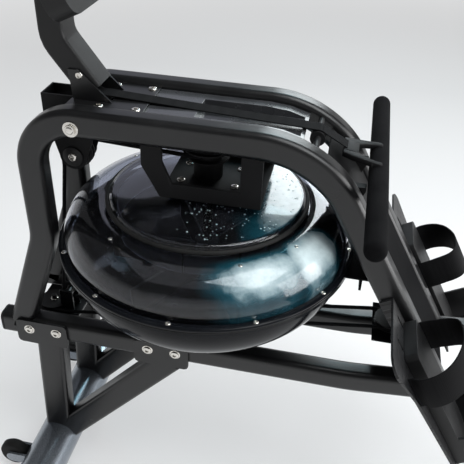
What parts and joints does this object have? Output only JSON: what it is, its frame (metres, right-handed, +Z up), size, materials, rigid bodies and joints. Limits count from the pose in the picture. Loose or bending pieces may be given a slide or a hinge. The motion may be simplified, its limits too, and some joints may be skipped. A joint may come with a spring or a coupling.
{
  "type": "water rowing machine",
  "caption": "Rowing machine with a round water tank in a bent tube frame, a pull handle on a belt, sloping footrests and a seat that rolls on two rails.",
  "frame": {"origin": "on the floor, half way along the whole length, in the plane of symmetry", "axes": "+X to the rear, the way the handle is pulled; +Y to the far side in the picture; +Z up"},
  "size_m": [2.11, 0.504, 1.0763],
  "materials": {
    "frame_paint": "satin charcoal powder coat",
    "bowl_gloss": "gloss black moulding",
    "dome_clear": "smoked clear moulding",
    "moulded_black": "fine satin moulding",
    "grip_foam": "matte foam",
    "black_webbing": "woven webbing",
    "bright_steel": "polished",
    "grey_sheet": "satin grey coat",
    "foot_rubber": "matte",
    "screen_glass": "clear window",
    "cushion_skin": "grained coated cloth"
  },
  "bodies": {
    "frame": {"rail_left": "frame_paint", "arch_left": "frame_paint", "front_leg_left": "frame_paint", "brace_leg_left": "frame_paint", "rear_leg_left": "frame_paint", "hanger_left": "frame_paint", "footplate_left": "frame_paint", "front_foot_left": "foot_rubber", "rear_foot_left": "foot_rubber", "strap_left": "black_webbing", "rail_right": "frame_paint", "arch_right": "frame_paint", "front_leg_right": "frame_paint", "brace_leg_right": "frame_paint", "rear_leg_right": "frame_paint", "hanger_right": "frame_paint", "footplate_right": "frame_paint", "front_foot_right": "foot_rubber", "rear_foot_right": "foot_rubber", "strap_right": "black_webbing", "front_crossbar": "frame_paint", "rear_crossbar": "frame_paint", "rail_tie": "frame_paint", "front_tie": "frame_paint", "hanger_base": "frame_paint", "console_base": "frame_paint", "rail_end_cover": "moulded_black", "console_arm": "moulded_black", "tank_bowl": "bowl_gloss", "tank_dome": "dome_clear", "front_axle": "bright_steel", "pulley_guard": "grey_sheet", "top_cover": "grey_sheet", "rear_panel": "grey_sheet", "slope_panel": "grey_sheet", "drive_belt": "black_webbing", "recoil_cord": "black_webbing"},
    "handle": {"handle_bar": "grip_foam", "handle_yoke": "moulded_black", "belt_end": "black_webbing"},
    "drum": {"pull_drum": "moulded_black"},
    "belt_pulley": {"front_pulley": "moulded_black"},
    "roller": {"guide_roller": "bright_steel"},
    "upper_pulley": {"upper_cord_pulley": "moulded_black"},
    "lower_pulley": {"lower_cord_pulley": "moulded_black"},
    "rear_pulley": {"rear_cord_pulley": "moulded_black"},
    "paddle": {"paddle": "moulded_black", "paddle_shaft": "bright_steel"},
    "wheel_left": {"transport_wheel_left": "foot_rubber"},
    "wheel_right": {"transport_wheel_right": "foot_rubber"},
    "console": {"console_housing": "moulded_black", "console_screen": "screen_glass"},
    "button_1": {"console_button_1": "moulded_black"},
    "button_2": {"console_button_2": "moulded_black"},
    "heel_left": {"heel_cup_left": "moulded_black"},
    "heel_right": {"heel_cup_right": "moulded_black"},
    "seat": {"seat_base": "frame_paint", "seat_cushion": "cushion_skin"},
    "axle_front": {"seat_axle_front": "moulded_black"},
    "axle_rear": {"seat_axle_rear": "moulded_black"}
  },
  "joints": [
    {"name": "handle_pull", "type": "slide", "parent": "frame", "child": "handle", "axis": [1, 0, 0], "range_m": [0, 1.2], "stiffness_N_per_m": 8, "springref_m": -1.5, "deforming": ["belt_end"]},
    {"name": "drum_spin", "type": "hinge", "parent": "frame", "child": "drum", "pos_m": [-0.653, 0, 0.74], "axis": [0, 0, 1], "range_deg": [-5, 1915]},
    {"name": "front_pulley_spin", "type": "hinge", "parent": "frame", "child": "belt_pulley", "pos_m": [-0.842, 0, 0.779], "axis": [0, 1, 0], "range_deg": [-5, 2756]},
    {"name": "guide_roller_spin", "type": "hinge", "parent": "frame", "child": "roller", "pos_m": [-0.482, 0, 0.7735], "axis": [0, 1, 0], "range_deg": [-5, 5175]},
    {"name": "upper_cord_pulley_spin", "type": "hinge", "parent": "frame", "child": "upper_pulley", "pos_m": [-0.877, 0, 0.692], "axis": [0, 1, 0], "range_deg": [-5, 1888]},
    {"name": "rear_cord_pulley_spin", "type": "hinge", "parent": "frame", "child": "rear_pulley", "pos_m": [-0.316, 0, 0.43], "axis": [0, 0, 1], "range_deg": [-5, 857]},
    {"name": "lower_cord_pulley_spin", "type": "hinge", "parent": "frame", "child": "lower_pulley", "pos_m": [-0.965, 0, 0.341], "axis": [0, 0, 1], "range_deg": [-5, 49]},
    {"name": "paddle_spin", "type": "hinge", "parent": "frame", "child": "paddle", "pos_m": [-0.653, 0, 0.51], "axis": [0, 0, 1], "continuous": true},
    {"name": "transport_wheel_left_spin", "type": "hinge", "parent": "frame", "child": "wheel_left", "pos_m": [-1.025, -0.15, 0.039], "axis": [0, 1, 0], "continuous": true},
    {"name": "transport_wheel_right_spin", "type": "hinge", "parent": "frame", "child": "wheel_right", "pos_m": [-1.025, 0.15, 0.039], "axis": [0, 1, 0], "continuous": true},
    {"name": "console_tilt", "type": "hinge", "parent": "frame", "child": "console", "pos_m": [-0.89, 0, 0.99], "axis": [0, 1, 0], "range_deg": [-20, 20]},
    {"name": "console_button_1_press", "type": "slide", "parent": "console", "child": "button_1", "axis": [-0.9063, 0, -0.4226], "range_m": [0, 0.0015], "stiffness_N_per_m": 400, "springref_m": -0.002},
    {"name": "console_button_2_press", "type": "slide", "parent": "console", "child": "button_2", "axis": [-0.9063, 0, -0.4226], "range_m": [0, 0.0015], "stiffness_N_per_m": 400, "springref_m": -0.002},
    {"name": "heel_cup_left_slide", "type": "slide", "parent": "frame", "child": "heel_left", "axis": [0.5, 0, -0.866], "range_m": [-0.04, 0.01]},
    {"name": "heel_cup_right_slide", "type": "slide", "parent": "frame", "child": "heel_right", "axis": [0.5, 0, -0.866], "range_m": [-0.04, 0.01]},
    {"name": "seat_slide", "type": "slide", "parent": "frame", "child": "seat", "axis": [1, 0, 0], "range_m": [-0.26, 0.52]},
    {"name": "seat_axle_front_spin", "type": "hinge", "parent": "seat", "child": "axle_front", "pos_m": [0.25, 0, 0.4203], "axis": [0, 1, 0], "range_deg": [-750, 1495]},
    {"name": "seat_axle_rear_spin", "type": "hinge", "parent": "seat", "child": "axle_rear", "pos_m": [0.38, 0, 0.4203], "axis": [0, 1, 0], "range_deg": [-750, 1495]}
  ],
  "couplings": [
    {"joint": "drum_spin", "follows": "handle_pull", "rad_per_m": 27.778},
    {"joint": "front_pulley_spin", "follows": "handle_pull", "rad_per_m": 40},
    {"joint": "guide_roller_spin", "follows": "handle_pull", "rad_per_m": 75.188},
    {"joint": "upper_cord_pulley_spin", "follows": "handle_pull", "rad_per_m": 27.378},
    {"joint": "rear_cord_pulley_spin", "follows": "handle_pull", "rad_per_m": 12.381},
    {"joint": "lower_cord_pulley_spin", "follows": "handle_pull", "rad_per_m": 0.6349},
    {"joint": "seat_axle_front_spin", "follows": "seat_slide", "rad_per_m": 50},
    {"joint": "seat_axle_rear_spin", "follows": "seat_slide", "rad_per_m": 50}
  ]
}
